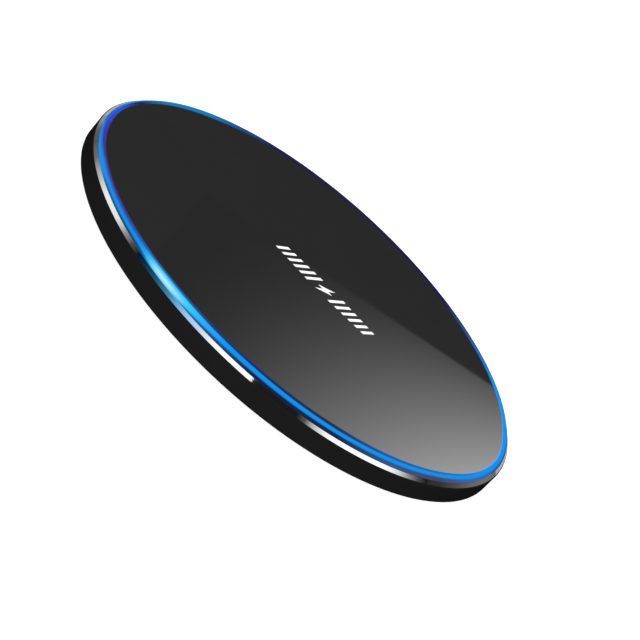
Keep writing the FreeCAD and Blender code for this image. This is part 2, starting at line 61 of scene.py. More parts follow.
def radius(node):
    """The radius of a turned CAD node, in mm."""
    low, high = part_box(node)
    return max(high.x, high.y, -low.x, -low.y) / MM


PANEL_BOTTOM, PANEL_TOP = heights("top_panel")
PANEL_R = radius("top_panel")
PRINT_R = radius("panel_print")
PANEL_BEVEL = 0.75
BEVEL_START = PANEL_R - PANEL_BEVEL
PANEL_EDGE = 0.07           # size of the soft edges of the panel
GLOW_START = PRINT_R - 1.4  # the glow creeps in under the ink as far as this

BEZEL_R = radius("bezel_ring")
WALL_BOTTOM, BEZEL_TOP = heights("bezel_ring")
RIM_CHAMFER = 0.8
RIM_MARGIN = 0.2            # black edge under the polished band on the chamfer
RIM_LEDGE = 0.05            # flat lip between the chamfer and the panel
HEM_CHAMFER = 0.25          # chamfer at the foot of the wall
BEZEL_INNER = BEZEL_R - RIM_CHAMFER - RIM_LEDGE
FLANGE_BOTTOM = WALL_BOTTOM + 0.1
FLANGE_TOP = FLANGE_BOTTOM + 0.7
FLANGE_INNER = 47.0
BEZEL_EDGE = 0.06           # size of the soft edges of the bezel
BAND_NORMALS = (0.69, 0.73) # range of the upward part of the normal on the polished band

PORT_HALF = (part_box("usb_insulator")[1].x / MM + 0.4, 1.35)     # half the width and height of the opening
PORT_MIDDLE = sum(heights("usb_shell")) / 2
PORT_CORNER = 0.4

FOOT_R = radius("foot_ring")
FOOT_WIDTH = 7.6
FOOT_TOP = heights("foot_ring")[1]
FOOT_BANDS = 5              # treads and the grooves between them
FOOT_GROOVE = 0.2
FOOT_EDGE = 0.12            # size of its soft edges

TURN_STEPS = 360            # facets round a turned piece


# ---------------------------------------------------------------- meshes
def finished(mesh, name, body="root", replaces=()):
    """Makes a piece of a bmesh whose points are in mm, and puts it on its body."""
    bmesh.ops.remove_doubles(mesh, verts=mesh.verts, dist=1e-4)
    bmesh.ops.recalc_face_normals(mesh, faces=mesh.faces)
    bmesh.ops.scale(mesh, vec=(MM, MM, MM), verts=mesh.verts)
    data = bpy.data.meshes.new(name)
    mesh.to_mesh(data)
    mesh.free()
    data.shade_smooth()
    data.set_sharp_from_angle(angle=math.radians(35))
    piece = bpy.data.objects.new(name, data)
    bpy.context.scene.collection.objects.link(piece)
    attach(piece, body)
    if replaces:
        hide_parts(*replaces)
    return piece


def softened(outline, size, steps=3):
    """The outline with each corner that is off the axis cut by a small arc.

    A point just before and after each arc keeps the shading of the flats beside it flat.
    """
    made = []
    count = len(outline)
    for k, corner in enumerate(outline):
        here = Vector(corner)
        if here.x < 1e-6:
            made.append(here)
            continue
        before = Vector(outline[k - 1]) - here
        after = Vector(outline[(k + 1) % count]) - here
        turn = before.angle(after)
        reach = min(size / math.tan(turn / 2), before.length * 0.45, after.length * 0.45)
        start = here + before.normalized() * reach
        end = here + after.normalized() * reach
        made.append(here + before.normalized() * min(reach * 1.5, before.length * 0.48))
        for step in range(steps + 1):
            t = step / steps
            made.append(start * (1 - t) ** 2 + here * 2 * t * (1 - t) + end * t ** 2)
        made.append(here + after.normalized() * min(reach * 1.5, after.length * 0.48))
    return made


def turned(outline, steps=TURN_STEPS):
    """A bmesh of a closed outline of (radius, height) points, turned about Z."""
    mesh = bmesh.new()
    rings = []
    for r, z in outline:
        if r < 1e-6:
            rings.append([mesh.verts.new((0, 0, z))] * steps)
            continue
        turn = [2 * math.pi * k / steps for k in range(steps)]
        rings.append([mesh.verts.new((r * math.cos(a), r * math.sin(a), z)) for a in turn])
    for lower, upper in zip(rings, rings[1:] + rings[:1]):
        for k in range(steps):
            corners = [lower[k], lower[(k + 1) % steps], upper[(k + 1) % steps], upper[k]]
            unique = list(dict.fromkeys(corners))
            if len(unique) > 2:
                mesh.faces.new(unique)
    return mesh


def extruded(outlines, bottom, top):
    """A bmesh of flat closed outlines of (x, y) points, given a thickness."""
    mesh = bmesh.new()
    for outline in outlines:
        lower = [mesh.verts.new((x, y, bottom)) for x, y in outline]
        upper = [mesh.verts.new((x, y, top)) for x, y in outline]
        mesh.faces.new(list(reversed(lower)))
        mesh.faces.new(upper)
        for k in range(len(outline)):
            after = (k + 1) % len(outline)
            mesh.faces.new([lower[k], lower[after], upper[after], upper[k]])
    return mesh


# ---------------------------------------------------------------- materials
class Surface:
    """One material, with short ways to add nodes to it."""

    def __init__(self, name):
        self.material = bpy.data.materials.new(name)
        self.material.use_nodes = True
        self.nodes = self.material.node_tree.nodes
        self.links = self.material.node_tree.links
        self.shader = self.nodes["Principled BSDF"]
        self.place = self.nodes.new("ShaderNodeTexCoord").outputs["Object"]

    def put(self, socket, value):
        """Sets a socket to a value, or links it to another socket."""
        if isinstance(value, bpy.types.NodeSocket):
            self.links.new(value, socket)
        elif isinstance(value, tuple) and len(value) == 3 and socket.type == "RGBA":
            socket.default_value = (*value, 1)
        else:
            socket.default_value = value

    def set(self, **values):
        """Sets the shader's inputs. An underscore stands for a space in a name."""
        for name, value in values.items():
            self.put(self.shader.inputs[name.replace("_", " ")], value)
        return self

    def node(self, kind, inputs=(), **settings):
        """A node of one kind, with its inputs by number or name."""
        made = self.nodes.new("ShaderNode" + kind)
        for name, value in settings.items():
            setattr(made, name, value)
        for key, value in dict(inputs).items():
            self.put(made.inputs[key], value)
        return made

    def math(self, operation, a, b=0.0):
        return self.node("Math", {0: a, 1: b}, operation=operation).outputs[0]

    def noise(self, size, detail=3.0):
        """Noise from 0 to 1 whose blobs are about size mm across."""
        scale = 1 / (size * MM)
        return self.node("TexNoise", {"Vector": self.place, "Scale": scale, "Detail": detail}).outputs[0]

    def ramp(self, value, stops):
        """A colour or grey that runs through (place, colour) stops."""
        made = self.node("ValToRGB", {0: value})
        elements = made.color_ramp.elements
        while len(elements) < len(stops):
            elements.new(0.5)
        for element, (place, colour) in zip(elements, stops):
            element.position = place
            grey = isinstance(colour, (int, float))
            element.color = (colour, colour, colour, 1) if grey else (*colour, 1)
        return made.outputs[0]

    def span(self, value, low, high):
        """Maps 0 to 1 onto low to high."""
        return self.node("MapRange", {0: value, 3: low, 4: high}).outputs[0]

    def rise(self, value, start, end):
        """Goes from 0 to 1 as a value goes from start to end."""
        return self.node("MapRange", {0: value, 1: start, 2: end}).outputs[0]

    def mix(self, share, a, b):
        """Blends two colours."""
        made = self.node("Mix", {"Factor": share}, data_type="RGBA")
        self.put(made.inputs[6], a)
        self.put(made.inputs[7], b)
        return made.outputs[2]

    def bump(self, height, depth):
        """Feeds a height from 0 to 1, depth mm deep, to the normal."""
        made = self.node("Bump", {"Height": height, "Distance": depth * MM, "Strength": 1.0})
        self.put(self.shader.inputs["Normal"], made.outputs[0])
        return self

    def polar(self):
        """Sockets with the distance from the pad's axis in mm, and the turn from -X, 0 to 1."""
        split = self.node("SeparateXYZ", {0: self.place})
        x, y = split.outputs[0], split.outputs[1]
        squares = self.math("ADD", self.math("MULTIPLY", x, x), self.math("MULTIPLY", y, y))
        distance = self.math("MULTIPLY", self.math("SQRT", squares), 1 / MM)
        angle = self.math("ARCTAN2", y, x)
        turn = self.math("ADD", self.math("DIVIDE", angle, 2 * math.pi), 0.5)
        return distance, turn


def grained(name, dark, light, grain, rough=(0.4, 0.6), depth=0.01, **shader):
    """A material whose colour and roughness vary with grain, and whose surface is slightly rough."""
    made = Surface(name)
    coarse = made.noise(grain * 12, 2.0)
    fine = made.noise(grain, 4.0)
    made.set(Base_Color=made.mix(coarse, dark, light), Roughness=made.span(fine, *rough), **shader)
    return made.bump(fine, depth).material


def tinted(colour, share):
    """A colour, lighter or darker by a share."""
    return tuple(min(1.0, part * share) for part in colour)


def shades(colour, spread=0.15):
    """A darker and a lighter version of a colour."""
    return tinted(colour, 1 - spread), tinted(colour, 1 + spread)


PANEL_BLACK = (0.0133, 0.0133, 0.0137)


def panel_black():
    """Gloss panel over black ink, with the faintest orange peel."""
    made = Surface("panel_black")
    haze = made.noise(9.0, 2.0)
    made.set(Base_Color=made.mix(haze, *shades(PANEL_BLACK, 0.04)),
             Roughness=made.span(haze, 0.015, 0.03), IOR=1.5)
    return made.bump(haze, 0.0004).material


AZURE = (0.002, 0.285, 0.86)
DEEP_AZURE = (0.004, 0.12, 0.80)
CYAN = (0.035, 0.62, 0.96)
ICE = (0.40, 0.92, 1.0)
HOT = (0.50, 0.85, 0.97)
BLUE = (0.018, 0.13, 0.42)
ROYAL = (0.022, 0.09, 0.70)
VIOLET = (0.050, 0.036, 0.30)
DUSK = (0.010, 0.008, 0.062)
DEEP = (0.005, 0.040, 0.20)
NAVY = (0.006, 0.012, 0.055)
TEAL = (0.010, 0.18, 0.44)


CORE_SHIFT = 0.5            # added to the core's inner edges, since a ramp holds nothing below 0


def lit_border():
    """The clear border over the light guide: a bright core on the bevel, between deep blue edges.

    The core's limits are in mm from the top of the bevel, outwards, and reach is how far inwards
    the glow goes. All of them vary with the turn round the pad.
    """
    made = Surface("lit_border")
    distance, turn = made.polar()
    outwards = made.math("SUBTRACT", distance, BEVEL_START)
    shifted_inner = made.ramp(turn, [
        (0.0, 0.5), (0.03, 1.1), (0.055, 1.15), (0.083, 1.0), (0.11, 0.73), (0.17, 0.66), (0.188, 0.5),
        (0.21, 0.1), (0.28, 0.0), (0.34, 0.12), (0.42, 0.2), (0.46, 0.37), (0.5, 0.22), (0.6, 0.22),
        (0.69, 0.65), (0.82, 0.65), (0.87, 0.45), (0.91, 0.15), (0.96, 0.2), (1.0, 0.5)])
    core_inner = made.math("SUBTRACT", shifted_inner, CORE_SHIFT)
    core_outer = made.ramp(turn, [
        (0.0, 1.0), (0.11, 1.0), (0.13, 0.62), (0.185, 0.55), (0.2, 0.8), (0.22, 0.75), (0.25, 0.48),
        (0.28, 0.37), (0.33, 0.33), (0.38, 0.28), (0.42, 0.26), (0.46, 0.36), (0.52, 0.45), (0.97, 0.5),
        (1.0, 1.0)])
    reach = made.ramp(turn, [
        (0.0, 0.75), (0.03, 0.3), (0.09, 0.15), (0.14, 0.45), (0.19, 0.85), (0.23, 1.35), (0.28, 1.65),
        (0.34, 1.6), (0.42, 0.95), (0.47, 0.5), (0.51, 0.5), (0.55, 1.1), (0.6, 1.2), (0.64, 1.5),
        (0.69, 1.8), (0.86, 1.8), (0.92, 1.8), (0.97, 1.1), (1.0, 0.75)])
    core_colour = made.ramp(turn, [
        (0.0, AZURE), (0.185, AZURE), (0.204, CYAN), (0.228, CYAN), (0.243, (0.02, 0.40, 0.94)),
        (0.262, AZURE)])
    flat = made.ramp(turn, [
        (0.0, NAVY), (0.03, ROYAL), (0.07, (0.036, 0.045, 0.42)), (0.1, VIOLET), (0.14, VIOLET),
        (0.17, (0.02, 0.07, 0.32)), (0.21, BLUE), (0.25, DEEP), (0.29, (0.008, 0.026, 0.12)),
        (0.34, (0.012, 0.030, 0.080)), (0.375, (0.010, 0.10, 0.36)), (0.46, (0.017, 0.18, 0.50)),
        (0.50, AZURE), (0.60, AZURE), (0.64, BLUE), (0.69, DUSK), (0.86, DUSK),
        (0.89, (0.010, 0.07, 0.25)), (0.92, TEAL), (0.97, TEAL), (1.0, NAVY)])
    edge = made.ramp(turn, [
        (0.0, BLUE), (0.12, (0.015, 0.12, 0.32)), (0.17, (0.010, 0.05, 0.12)), (0.24, (0.008, 0.10, 0.28)),
        (0.28, NAVY), (0.34, (0.007, 0.016, 0.05)), (0.38, (0.025, 0.10, 0.28)),
        (0.42, (0.055, 0.06, 0.13)), (0.46, (0.035, 0.14, 0.42)), (0.52, BLUE), (0.6, NAVY), (0.95, NAVY),
        (1.0, BLUE)])
    lit = made.rise(made.math("ADD", outwards, reach), -0.1, 0.15)
    hot_turn = made.ramp(turn, [(0.194, 0.0), (0.206, 1.0), (0.214, 1.0), (0.229, 0.0)])
    hot_middle = made.ramp(made.rise(outwards, -0.1, PANEL_BEVEL), [
        (0.0, 0.0), (0.2, 0.1), (0.6, 1.0), (1.0, 0.5)])
    hot = made.math("MULTIPLY", hot_turn, hot_middle)
    past_core = made.rise(made.math("SUBTRACT", outwards, core_outer), -0.12, 0.12)
    on_core = made.rise(made.math("SUBTRACT", outwards, core_inner), -0.22, 0.22)
    core = made.mix(hot, made.mix(past_core, core_colour, edge), HOT)
    glow = made.mix(on_core, flat, core)
    made.set(Base_Color=made.mix(lit, PANEL_BLACK, (0.002, 0.002, 0.004)),
             Roughness=made.span(lit, 0.02, 0.12), IOR=1.5, Specular_IOR_Level=made.span(lit, 0.5, 0.0),
             Emission_Color=made.mix(lit, (0.0, 0.0, 0.0), glow), Emission_Strength=1.0)
    return made.material


def bezel_wall():
    """Bead-blasted black anodising."""
    made = Surface("bezel_wall")
    grain = made.noise(0.12, 3.0)
    patch = made.noise(14.0, 2.0)
    made.set(Base_Color=made.mix(patch, (0.0058, 0.0058, 0.0062), (0.0070, 0.0070, 0.0074)),
             Roughness=made.span(grain, 0.42, 0.6), Specular_IOR_Level=0.0)
    return made.bump(grain, 0.006).material


def bezel_ledge():
    """The black lip beside the lit border, with the border's blue light painted onto it as a glow."""
    made = Surface("bezel_ledge")
    turn = made.polar()[1]
    # Painted light: the lip glows with the border's colour at each turn, standing in for the light that the
    # border throws onto it.
    painted_glow = made.ramp(turn, [
        (0.0, AZURE), (0.04, AZURE), (0.08, (0.0, 0.0, 0.0)), (0.18, (0.0, 0.0, 0.0)), (0.205, CYAN),
        (0.22, CYAN), (0.245, (0.0, 0.0, 0.0)), (0.45, (0.0, 0.0, 0.0)), (0.50, AZURE), (0.60, AZURE),
        (0.64, BLUE), (0.69, DUSK), (0.86, DUSK), (0.89, BLUE), (0.93, TEAL), (0.97, TEAL), (1.0, AZURE)])
    made.set(Base_Color=(0.008, 0.008, 0.009), Roughness=0.4, Specular_IOR_Level=0.03,
             Emission_Color=painted_glow, Emission_Strength=1.0)
    return made.material


def bezel_rim():
    """Diamond-cut aluminium: a mirror with very fine turning lines."""
    made = Surface("bezel_rim")
    distance = made.polar()[0]
    lines = made.node("TexWave", {"Vector": made.node("CombineXYZ", {0: distance}).outputs[0],
                                  "Scale": 8.0}).outputs["Fac"]
    made.set(Base_Color=(0.88, 0.88, 0.885), Metallic=1.0, Roughness=made.span(lines, 0.03, 0.05))
    return made.bump(lines, 0.0001).material


def guide():
    """Milky acrylic lit from below."""
    made = Surface("light_guide")
    cloud = made.noise(6.0)
    made.set(Base_Color=made.mix(cloud, (0.35, 0.6, 0.95), (0.5, 0.72, 1.0)), Roughness=0.35,
             Emission_Color=made.mix(cloud, DEEP_AZURE, AZURE), Emission_Strength=0.9)
    return made.material


def lit_resin():
    """The clear window of a lit LED."""
    made = Surface("led_window")
    cloud = made.noise(0.8)
    made.set(Base_Color=(0.3, 0.55, 1.0), Roughness=0.15,
             Emission_Color=made.mix(cloud, AZURE, ICE), Emission_Strength=1.5)
    return made.material


def case_plastic():
    """Black ABS with a spark-eroded texture."""
    made = Surface("case")
    grain = made.noise(0.22, 5.0)
    patch = made.noise(20.0, 2.0)
    made.set(Base_Color=made.mix(patch, (0.014, 0.014, 0.015), (0.021, 0.021, 0.022)),
             Roughness=made.span(grain, 0.5, 0.75), Specular_IOR_Level=0.35)
    return made.bump(grain, 0.02).material


def silicone():
    """Matte black rubber with a trace of dust."""
    made = Surface("silicone")
    grain = made.noise(0.3, 4.0)
    dust = made.ramp(made.noise(2.2, 6.0), [(0.55, 0.0), (0.75, 1.0)])
    made.set(Base_Color=made.mix(dust, (0.020, 0.020, 0.021), (0.042, 0.041, 0.040)),
             Roughness=made.span(grain, 0.7, 0.9), Specular_IOR_Level=0.3)
    return made.bump(grain, 0.012).material


def litz():
    """Enamelled copper strands that twist along each turn."""
    made = Surface("copper")
    distance, turn = made.polar()
    twist = made.math("ADD", made.math("MULTIPLY", turn, 900.0), made.math("MULTIPLY", distance, 14.0))
    strand = made.math("ABSOLUTE", made.math("SINE", twist))
    tone = made.mix(strand, (0.20, 0.055, 0.022), (0.86, 0.42, 0.22))
    made.set(Base_Color=tone, Metallic=0.9, Roughness=made.span(strand, 0.55, 0.28))
    return made.bump(strand, 0.06).material


def board():
    """Green solder mask with radial copper tracks under it."""
    made = Surface("board")
    distance, turn = made.polar()
    spokes = made.math("SINE", made.math("MULTIPLY", turn, 2 * math.pi * 48))
    rings = made.math("SINE", made.math("MULTIPLY", distance, 2.6))
    track = made.ramp(made.math("MULTIPLY", spokes, rings), [(0.48, 0.0), (0.52, 1.0)])
    made.set(Base_Color=made.mix(track, (0.006, 0.052, 0.022), (0.012, 0.105, 0.045)),
             Roughness=made.span(made.noise(1.5), 0.25, 0.4))
    return made.bump(track, 0.03).material


SLOTS = {
    "panel": panel_black,
    "black_ink": lambda: grained("black_ink", *shades((0.012, 0.012, 0.013)), 0.4, (0.25, 0.4), 0.002),
    "bezel": bezel_wall,
    "light_guide": guide,
    "reflector": lambda: grained("reflector", *shades((0.82, 0.83, 0.84), 0.05), 0.5, (0.3, 0.5), 0.002),
    "case": case_plastic,
    "carrier": lambda: grained("carrier", *shades((0.025, 0.025, 0.027)), 0.25, (0.5, 0.7), 0.01),
    "silicone": silicone,
    "tape": lambda: grained("tape", *shades((0.6, 0.59, 0.55), 0.1), 0.3, (0.6, 0.9), 0.01),
    "label": lambda: grained("label", *shades((0.20, 0.205, 0.21), 0.05), 0.15, (0.3, 0.45), 0.002,
                             Metallic=0.3),
    "copper": litz,
    "ferrite": lambda: grained("ferrite", *shades((0.05, 0.05, 0.055), 0.3), 0.12, (0.6, 0.85), 0.008),
    "foam": lambda: grained("foam", *shades((0.05, 0.05, 0.054), 0.3), 0.3, (0.85, 1.0), 0.08),
    "thermal": lambda: grained("thermal", *shades((0.22, 0.32, 0.46), 0.1), 0.3, (0.6, 0.8), 0.01),
    "board": board,
    "gold": lambda: grained("gold", *shades((0.85, 0.58, 0.22), 0.08), 0.1, (0.2, 0.35), 0.001,
                            Metallic=1.0),
    "solder": lambda: grained("solder", *shades((0.62, 0.62, 0.65), 0.1), 0.2, (0.18, 0.4), 0.006,
                              Metallic=1.0),
    "chip_body": lambda: grained("chip_body", *shades((0.018, 0.018, 0.02), 0.2), 0.1, (0.45, 0.65),
                                 0.004),
    "ceramic": lambda: grained("ceramic", *shades((0.36, 0.23, 0.13), 0.15), 0.3, (0.3, 0.5), 0.004),
    "resistor": lambda: grained("resistor", *shades((0.03, 0.03, 0.036), 0.2), 0.2, (0.25, 0.45), 0.003),
    "inductor": lambda: grained("inductor", *shades((0.09, 0.09, 0.10), 0.3), 0.1, (0.55, 0.8), 0.01),
    "metal_can": lambda: grained("metal_can", *shades((0.6, 0.6, 0.62), 0.06), 0.2, (0.2, 0.32), 0.001,
                                 Metallic=1.0),
    "bead": lambda: grained("bead", *shades((0.25, 0.10, 0.03), 0.2), 0.4, (0.1, 0.2), 0.002),
    "led_housing": lambda: grained("led_housing", *shades((0.78, 0.78, 0.75), 0.04), 0.2, (0.4, 0.6),
                                   0.002),
    "led_window": lit_resin,
    "steel": lambda: grained("steel", *shades((0.58, 0.58, 0.6), 0.08), 0.25, (0.22, 0.38), 0.001,
                             Metallic=1.0),
    "screw": lambda: grained("screw", *shades((0.05, 0.05, 0.055), 0.3), 0.15, (0.3, 0.5), 0.003,
                             Metallic=0.8),
    "insulator": lambda: grained("insulator", *shades((0.02, 0.02, 0.021), 0.2), 0.2, (0.4, 0.6), 0.004),
}


def dress_cad_nodes():
    """Gives each CAD node the material of its slot in the record."""
    made = {}
    for part in frame["record"]["subparts"]:
        slot = part["material_slot"]
        if slot not in made:
            made[slot] = SLOTS[slot]()
        materials = frame["nodes"][part["node"]].data.materials
        materials.clear()
        materials.append(made[slot])
    return made


# ---------------------------------------------------------------- the pieces that show most
def charging_panel(materials):
    """The gloss panel, black inside and lit round its border."""
    outline = softened([
        (0, PANEL_BOTTOM), (PANEL_R, PANEL_BOTTOM), (PANEL_R, PANEL_TOP - PANEL_BEVEL),
        (BEVEL_START, PANEL_TOP), (0, PANEL_TOP)], PANEL_EDGE)
    outline.insert(-1, Vector((GLOW_START, PANEL_TOP)))
    outline.insert(1, Vector((GLOW_START, PANEL_BOTTOM)))
    piece = finished(turned(outline), "charging_panel", replaces=["top_panel"])
    piece.data.materials.append(materials["panel"])
    piece.data.materials.append(lit_border())
    for face in piece.data.polygons:
        face.material_index = int(face.center.xy.length > GLOW_START * MM)
    return piece


def rounded_box(half_x, half_z, corner, middle_z, start, end):
    """A bmesh of a rounded rectangle in X and Z, extruded along Y."""
    mesh = bmesh.new()
    outline = []
    for quarter in range(4):
        side_x = 1 if quarter in (0, 3) else -1
        side_z = 1 if quarter in (0, 1) else -1
        for step in range(7):
            angle = math.radians(90 * quarter + 15 * step)
            outline.append((side_x * (half_x - corner) + corner * math.cos(angle),
                            middle_z + side_z * (half_z - corner) + corner * math.sin(angle)))
    near = [mesh.verts.new((x, start, z)) for x, z in outline]
    far = [mesh.verts.new((x, end, z)) for x, z in outline]
    mesh.faces.new(near)
    mesh.faces.new(list(reversed(far)))
    for k in range(len(outline)):
        after = (k + 1) % len(outline)
        mesh.faces.new([near[k], far[k], far[after], near[after]])
    bmesh.ops.recalc_face_normals(mesh, faces=mesh.faces)
    return mesh


def cut(piece, cutter_mesh):
    """Cuts a bmesh, in mm, out of a piece."""
    bmesh.ops.scale(cutter_mesh, vec=(MM, MM, MM), verts=cutter_mesh.verts)
    data = bpy.data.meshes.new("cutter")
    cutter_mesh.to_mesh(data)
    cutter_mesh.free()
    cutter = bpy.data.objects.new("cutter", data)
    bpy.context.scene.collection.objects.link(cutter)
    modifier = piece.modifiers.new("cut", "BOOLEAN")
    modifier.object = cutter
    modifier.solver = "EXACT"
    bpy.context.view_layer.update()
    evaluated = piece.evaluated_get(bpy.context.evaluated_depsgraph_get())
    result = bpy.data.meshes.new_from_object(evaluated)
    piece.modifiers.clear()
    piece.data = result
    bpy.data.objects.remove(cutter)
    return piece


def bezel(materials):
    """The bezel ring, with a polished band on its rim and the opening for the inlet."""
    band_foot = (BEZEL_R - RIM_MARGIN, BEZEL_TOP - RIM_CHAMFER + RIM_MARGIN)
    outline = softened([
        (FLANGE_INNER, FLANGE_BOTTOM), (BEZEL_INNER, FLANGE_BOTTOM), (BEZEL_INNER, WALL_BOTTOM),
        (BEZEL_R - HEM_CHAMFER, WALL_BOTTOM), (BEZEL_R, WALL_BOTTOM + HEM_CHAMFER),
        (BEZEL_R, BEZEL_TOP - RIM_CHAMFER), band_foot, (BEZEL_R - RIM_CHAMFER, BEZEL_TOP),
        (BEZEL_INNER, BEZEL_TOP), (BEZEL_INNER, FLANGE_TOP), (FLANGE_INNER, FLANGE_TOP)], BEZEL_EDGE)
    piece = finished(turned(outline), "bezel", replaces=["bezel_ring"])
    piece.data.materials.append(materials["bezel"])
    piece.data.materials.append(bezel_rim())
    piece.data.materials.append(bezel_ledge())
    opening = rounded_box(*PORT_HALF, PORT_CORNER, PORT_MIDDLE, FLANGE_INNER - 2, BEZEL_R + 1)
    cut(piece, opening)
    for face in piece.data.polygons:
        inset = BEZEL_R - face.center.xy.length / MM
        if BAND_NORMALS[0] < face.normal.z < BAND_NORMALS[1] and inset > RIM_MARGIN:
            face.material_index = 1
        elif face.normal.z >= BAND_NORMALS[1] and face.center.z > FLANGE_TOP * MM:
            face.material_index = 2
    piece.data.set_sharp_from_angle(angle=math.radians(35))
    return piece


def foot(materials):
    """The silicone ring, with soft edges on its tread and grooves."""
    steps = [FOOT_R - FOOT_WIDTH + FOOT_WIDTH / FOOT_BANDS * k for k in range(FOOT_BANDS + 1)]
    outline = []
    for k in range(FOOT_BANDS):
        height = FOOT_GROOVE if k % 2 else 0
        outline += [(steps[k], height), (steps[k + 1], height)]
    outline += [(FOOT_R, FOOT_TOP), (steps[0], FOOT_TOP)]
    mesh = turned(softened(outline, FOOT_EDGE))
    piece = finished(mesh, "foot", replaces=["foot_ring"])
    piece.data.materials.append(materials["silicone"])
    return piece


MARK_CENTRE = (2.8, 0.0)
MARK_HEIGHT = 5.2
MARK_SLANT = math.tan(math.radians(18))
MARK_THICKNESS = 0.015
BAR_WIDTH = 0.72
BAR_PITCH = 1.65
BARS_PER_SIDE = 6
BAR_TAPER = 0.05            # each bar is shorter than the one before it by this share of the first
FIRST_BAR = 3.1


def printed_ink():
    made = Surface("printed_ink")
    speckle = made.noise(0.2, 3.0)
    made.set(Base_Color=made.mix(speckle, (0.60, 0.60, 0.60), (0.70, 0.70, 0.70)),
             Roughness=made.span(speckle, 0.3, 0.45))
    return made.bump(speckle, 0.002).material


def printed_mark():
    """A plain charging mark: a bolt between two rows of slanted bars."""
    def slanted(points, centre):
        return [(MARK_CENTRE[0] + centre + x + y * MARK_SLANT, MARK_CENTRE[1] + y) for x, y in points]

    half = MARK_HEIGHT / 2
    bolt = [(-1.5, -0.4), (0.6, half), (0.35, 0.45), (1.5, 0.45), (-0.6, -half), (-0.35, -0.4)]
    outlines = [slanted(bolt, 0)]
    for side in (-1, 1):
        for k in range(BARS_PER_SIDE):
            tall = half * (1 - BAR_TAPER * k)
            bar = [(-BAR_WIDTH / 2, -tall), (BAR_WIDTH / 2, -tall), (BAR_WIDTH / 2, tall),
                   (-BAR_WIDTH / 2, tall)]
            outlines.append(slanted(bar, side * (FIRST_BAR + BAR_PITCH * k)))
    mesh = extruded(outlines, PANEL_TOP, PANEL_TOP + MARK_THICKNESS)
    piece = finished(mesh, "printed_mark")
    piece.data.materials.append(printed_ink())
    return piece


# ---------------------------------------------------------------- camera, floor and light
CAMERA_AZIMUTH = 6.75
CAMERA_ELEVATION = 22.15
CAMERA_ROLL = 42.94
CAMERA_DISTANCE = 335.7
CAMERA_AIM = (6.48, -4.70, 3.42)
CAMERA_LENS = 101.25


def toward(azimuth, elevation):
    """A direction from its angle about Z, counted from +X, and its height above the floor."""
    a, e = math.radians(azimuth), math.radians(elevation)
    return Vector((math.cos(a) * math.cos(e), math.sin(a) * math.cos(e), math.sin(e)))


def make_camera():
    data = bpy.data.cameras.new("camera")
    data.lens = CAMERA_LENS
    data.sensor_width = 36
    camera = bpy.data.objects.new("camera", data)
    bpy.context.scene.collection.objects.link(camera)
    back = toward(CAMERA_AZIMUTH - 90, CAMERA_ELEVATION)
    camera.location = (Vector(CAMERA_AIM) + back * CAMERA_DISTANCE) * MM
    level = (-back).to_track_quat("-Z", "Y").to_matrix().to_4x4()
    roll = Matrix.Rotation(math.radians(CAMERA_ROLL), 4, "Z")
    camera.matrix_world = Matrix.Translation(camera.location) @ level @ roll
    bpy.context.scene.camera = camera


FLOOR_SIZE = 8000.0
FLOOR_GAP = 0.02            # keeps the floor's face clear of the foot's
FLOOR_GLOW = 0.94           # near the pad; it rises to 1 between the two distances
FLOOR_NEAR, FLOOR_FAR = 100.0, 500.0
FLOOR_IN_MIRRORS = (0.42, 0.40, 0.45)


def make_floor():
    """A white floor that looks grey in the polished rim, so that the rim keeps its outline.

    It glows a little less under the pad than far away, where it meets the white behind it.
    """
    mesh = bmesh.new()
    bmesh.ops.create_grid(mesh, x_segments=1, y_segments=1, size=FLOOR_SIZE / 2 * MM)
    data = bpy.data.meshes.new("floor")
    mesh.to_mesh(data)
    mesh.free()
    floor = bpy.data.objects.new("floor", data)
    floor.location.z = -FLOOR_GAP * MM
    bpy.context.scene.collection.objects.link(floor)
    made = Surface("floor")
    distance = made.polar()[0]
    mirrored = made.nodes.new("ShaderNodeLightPath").outputs["Is Glossy Ray"]
    glow = made.span(made.rise(distance, FLOOR_NEAR, FLOOR_FAR), FLOOR_GLOW, 1.0)
    made.set(Base_Color=made.mix(mirrored, (0.25, 0.25, 0.25), (0.02, 0.02, 0.02)),
             Roughness=0.9, Specular_IOR_Level=0.0,
             Emission_Color=made.mix(mirrored, (1.0, 1.0, 1.0), FLOOR_IN_MIRRORS),
             Emission_Strength=glow)
    data.materials.append(made.material)


def make_world():
    """White behind the object, and dim in everything that it mirrors."""
    world = bpy.data.worlds.new("studio")
    bpy.context.scene.world = world
    world.use_nodes = True
    nodes, links = world.node_tree.nodes, world.node_tree.links
    background = nodes["Background"]
    path = nodes.new("ShaderNodeLightPath")
    shade = nodes.new("ShaderNodeMix")
    shade.data_type = "RGBA"
    shade.inputs[6].default_value = (0.012, 0.012, 0.013, 1)
    shade.inputs[7].default_value = (1.0, 1.0, 1.0, 1)
    links.new(path.outputs["Is Camera Ray"], shade.inputs["Factor"])
    links.new(shade.outputs[2], background.inputs["Color"])


LIGHT_SIZE = 1200.0
LIGHT_DISTANCE = 1300.0


def soft_light(name, azimuth, elevation, energy):
    """A broad soft light on the pad, which nothing mirrors."""
    data = bpy.data.lights.new(name, "AREA")
    data.size = LIGHT_SIZE * MM
    data.energy = energy
    light = bpy.data.objects.new(name, data)
    bpy.context.scene.collection.objects.link(light)
    place = toward(azimuth, elevation) * LIGHT_DISTANCE * MM
    turn = place.to_track_quat("Z", "Y").to_matrix().to_4x4()
    light.matrix_world = Matrix.Translation(place) @ turn
    light.visible_glossy = False
    light.visible_camera = False


